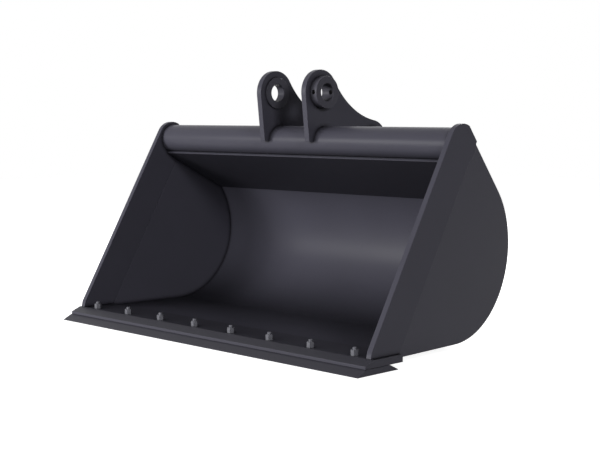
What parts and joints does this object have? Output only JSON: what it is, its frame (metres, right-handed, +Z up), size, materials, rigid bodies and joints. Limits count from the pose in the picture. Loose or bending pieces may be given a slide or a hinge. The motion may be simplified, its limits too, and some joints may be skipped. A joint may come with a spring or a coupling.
{
  "type": "excavator ditching bucket",
  "caption": "Wide smooth-lipped ditching bucket with bolt-on cutting edge, top tube and twin mounting ears for a mini excavator.",
  "frame": {"origin": "middle of the arm pin bore, halfway between the two ears", "axes": "+X to the bucket's right seen from inside the mouth looking rearwards along +Y; the mouth faces -Y; +Z up with the cutting edge flat on the ground"},
  "size_m": [1.222, 0.6894, 0.7578],
  "materials": {
    "charcoal_paint": "satin charcoal-grey powder coat on welded steel plate",
    "edge_paint": "satin charcoal-grey paint on thick wear-steel bars, slightly lighter on the bevels",
    "boss_paint": "satin charcoal-grey paint on turned steel bosses",
    "bolt_steel": "grey phosphated high-tensile bolt",
    "nut_steel": "grey phosphated high-tensile nut"
  },
  "bodies": {
    "root": {"top_tube": "charcoal_paint", "shell_sheet": "charcoal_paint", "box_plate": "charcoal_paint", "left_side_sheet": "charcoal_paint", "right_side_sheet": "charcoal_paint", "left_side_cutter": "charcoal_paint", "right_side_cutter": "charcoal_paint", "lip_plate": "edge_paint", "cutting_edge": "edge_paint", "left_ear": "charcoal_paint", "right_ear": "charcoal_paint", "left_arm_boss": "boss_paint", "right_arm_boss": "boss_paint", "left_link_boss": "boss_paint", "right_link_boss": "boss_paint", "plough_bolt_1": "bolt_steel", "plough_bolt_2": "bolt_steel", "plough_bolt_3": "bolt_steel", "plough_bolt_4": "bolt_steel", "plough_bolt_5": "bolt_steel", "plough_bolt_6": "bolt_steel", "plough_bolt_7": "bolt_steel", "plough_bolt_8": "bolt_steel", "edge_nut_1": "nut_steel", "edge_nut_2": "nut_steel", "edge_nut_3": "nut_steel", "edge_nut_4": "nut_steel", "edge_nut_5": "nut_steel", "edge_nut_6": "nut_steel", "edge_nut_7": "nut_steel", "edge_nut_8": "nut_steel"}
  },
  "joints": []
}
